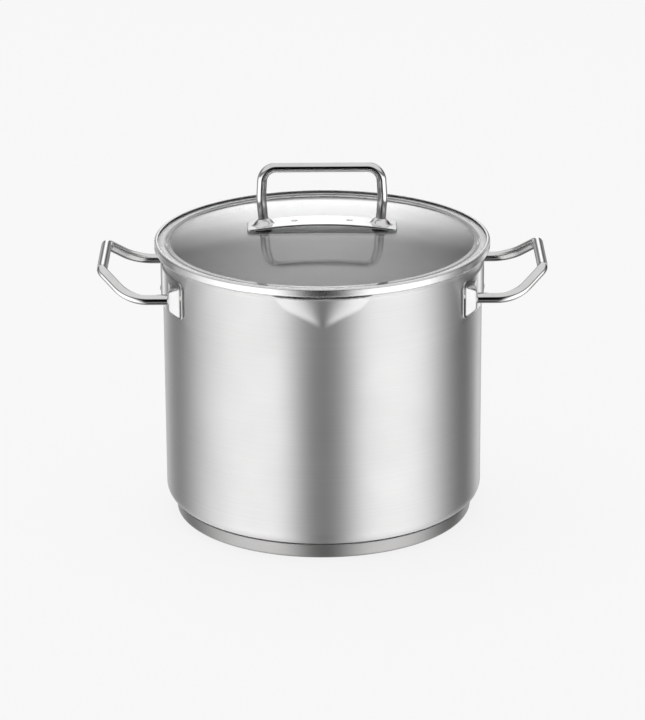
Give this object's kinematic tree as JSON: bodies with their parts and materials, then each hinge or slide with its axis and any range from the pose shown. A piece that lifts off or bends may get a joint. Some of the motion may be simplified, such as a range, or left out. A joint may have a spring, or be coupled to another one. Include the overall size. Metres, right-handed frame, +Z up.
{
  "type": "stock pot",
  "caption": "Tall steel stock pot with a pouring spout, tubular side handles on pressed brackets, and a steel-rimmed glass lid with a bridge handle.",
  "frame": {"origin": "centre of the underside of the base, on the surface that the pot stands on", "axes": "+Z up along the pot's axis, X across the two side handles, -Y towards the pouring spout, which is the front"},
  "size_m": [0.338, 0.2538, 0.2743],
  "materials": {
    "satin_steel": "satin, ground round the wall",
    "base_steel": "turned, fine rings",
    "core_aluminium": "plain, hidden in the base",
    "polished_steel": "mirror polished",
    "glass": "clear, tempered",
    "screw_steel": "machined",
    "silicone": "matt silicone"
  },
  "bodies": {
    "pot": {"pot_shell": "satin_steel", "base_core": "core_aluminium", "base_cap": "base_steel", "left_bracket": "polished_steel", "right_bracket": "polished_steel", "left_handle_tube": "polished_steel", "right_handle_tube": "polished_steel"},
    "lid": {"lid_glass": "glass", "lid_seal": "silicone", "lid_ring": "polished_steel", "lid_strap": "polished_steel", "lid_handle_tube": "polished_steel", "leg_inserts": "screw_steel", "lid_screws": "screw_steel", "screw_washers": "screw_steel", "sealing_washers": "silicone", "glass_collars": "silicone"}
  },
  "joints": [
    {"name": "lid_lift", "type": "slide", "parent": "pot", "child": "lid", "axis": [0, 0, 1], "range_m": [0, 0.25]}
  ]
}
